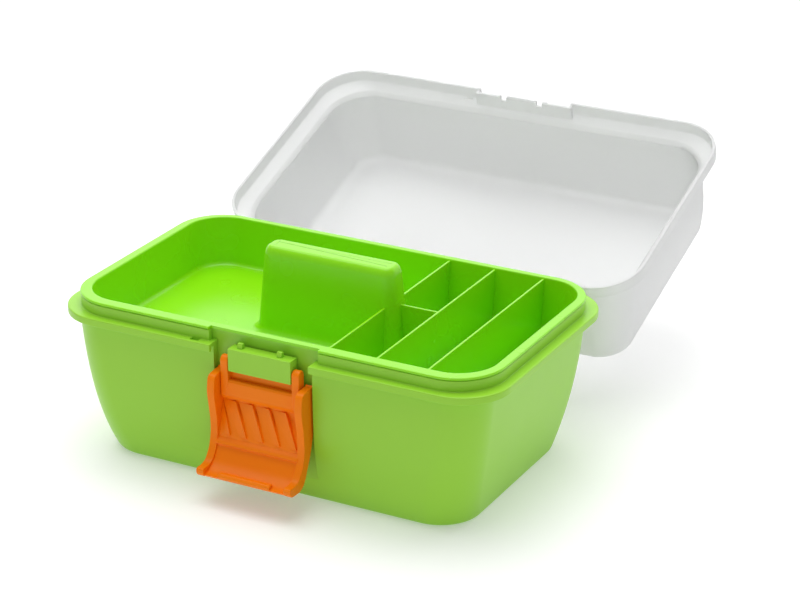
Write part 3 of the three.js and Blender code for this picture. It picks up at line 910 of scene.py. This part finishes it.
def make_lever():
    front = (
        curve_through(PANEL_FRONT, 3, False)
        + curve_through(RIDGE, 2, False)
        + curve_through(PANEL_TRAY, 3, False)
    )
    panel = lever(front + curve_through(PANEL_BACK, 3, False))
    made = prism("latch_lever_piece", panel, -CHEEK_INNER - 0.8, CHEEK_INNER + 0.8)
    cheek = curve_through(CHEEK, 3)
    parts = [
        prism("cheek", cheek, -CHEEK_OUTER, -CHEEK_INNER, 0.9),
        prism("cheek", cheek, CHEEK_INNER, CHEEK_OUTER, 0.9),
        prism("lip", LIP_BAR, -LIP_HALF, LIP_HALF, 0.5),
        *(tile(index) for index in range(TILES)),
    ]
    combine(made, "UNION", parts)
    end = ARM_OUTER + STUD_LENGTH + GAP
    hole = rod("hole", STUD_RADIUS + GAP, -end, end, PIVOT_Y, LEVER_Z)
    combine(made, "DIFFERENCE", [hole])
    return finish_piece(made, orange, "lever_body", ["latch_lever"])


def make_pin(name):
    low, high = (corner(name, which).x for which in (0, 1))
    pin = rod(name + "_piece", PIN_RADIUS, low, high, HINGE_Y, HINGE_Z, 0.35)
    return finish_piece(pin, steel, "box", [name])


make_tub()
make_tray()
make_lid()
make_link()
make_lever()
for pin_name in ("hinge_pin_left", "hinge_pin_right"):
    make_pin(pin_name)


# ---- floor, light and camera -----------------------------------------------------------------
FLOOR_SIZE = 12
FLOOR_DROP = 0.0002
CAMERA_AZIMUTH = 28.31
CAMERA_ELEVATION = 22.9
CAMERA_ROLL = -0.25
CAMERA_DISTANCE = 1.68737
CAMERA_LENS = 119.96
CAMERA_SENSOR = 36
TARGET = Vector((0.04583, 0.00624, RING_TOP * MM))


def make_floor():
    """A pale floor just under the box, which glows a little so that it stays white."""
    bpy.ops.mesh.primitive_plane_add(size=FLOOR_SIZE, location=(0, 0, -FLOOR_DROP))
    floor = bpy.context.object
    floor.name = "floor"
    material = bpy.data.materials.new("floor")
    material.use_nodes = True
    shader = material.node_tree.nodes["Principled BSDF"]
    shader.inputs["Base Color"].default_value = (0.8, 0.8, 0.8, 1)
    shader.inputs["Roughness"].default_value = 0.8
    shader.inputs["Specular IOR Level"].default_value = 0.2
    shader.inputs["Emission Color"].default_value = (1, 1, 1, 1)
    shader.inputs["Emission Strength"].default_value = 0.28
    floor.data.materials.append(material)


def make_world(front, back):
    """A white studio, whose strength rises from front to back."""
    world = bpy.data.worlds.new("studio")
    bpy.context.scene.world = world
    world.use_nodes = True
    tree = world.node_tree
    background = tree.nodes["Background"]
    background.inputs["Color"].default_value = (1, 1, 1, 1)
    place = tree.nodes.new("ShaderNodeTexCoord")
    towards = tree.nodes.new("ShaderNodeVectorMath")
    towards.operation = "DOT_PRODUCT"
    towards.inputs[1].default_value = (-0.35, 0.94, 0)
    ramp = tree.nodes.new("ShaderNodeMapRange")
    ramp.interpolation_type = "SMOOTHSTEP"
    for socket, value in (("From Min", 0.1), ("From Max", 0.95), ("To Min", front), ("To Max", back)):
        ramp.inputs[socket].default_value = value
    tree.links.new(place.outputs["Generated"], towards.inputs[0])
    tree.links.new(towards.outputs["Value"], ramp.inputs["Value"])
    tree.links.new(ramp.outputs["Result"], background.inputs["Strength"])


def softbox(name, place, aim, size, power):
    """A rectangular lamp at place, turned towards aim."""
    light = bpy.data.lights.new(name, "AREA")
    light.shape = "RECTANGLE"
    light.size, light.size_y = size
    light.energy = power
    lamp = bpy.data.objects.new(name, light)
    lamp.location = place
    lamp.rotation_mode = "QUATERNION"
    lamp.rotation_quaternion = (Vector(aim) - Vector(place)).to_track_quat("-Z", "Y")
    bpy.context.scene.collection.objects.link(lamp)


def make_camera():
    """A long lens that looks down on the box from its front right."""
    azimuth, elevation = math.radians(CAMERA_AZIMUTH), math.radians(CAMERA_ELEVATION)
    level = math.cos(elevation)
    back = Vector((math.sin(azimuth) * level, -math.cos(azimuth) * level, math.sin(elevation)))
    data = bpy.data.cameras.new("camera")
    data.lens = CAMERA_LENS
    data.sensor_width = CAMERA_SENSOR
    camera = bpy.data.objects.new("camera", data)
    camera.location = TARGET + back * CAMERA_DISTANCE
    roll = Matrix.Rotation(math.radians(CAMERA_ROLL), 4, "Z")
    aim = (-back).to_track_quat("-Z", "Y").to_matrix().to_4x4()
    camera.matrix_world = Matrix.Translation(camera.location) @ aim @ roll
    bpy.context.scene.collection.objects.link(camera)
    bpy.context.scene.camera = camera


make_floor()
make_world(0.38, 1.6)
softbox("key", (-0.15, 0.1, 1.6), (0, 0, 0.05), (1.5, 1.5), 20)
make_camera()
bpy.context.scene.view_settings.view_transform = "Standard"
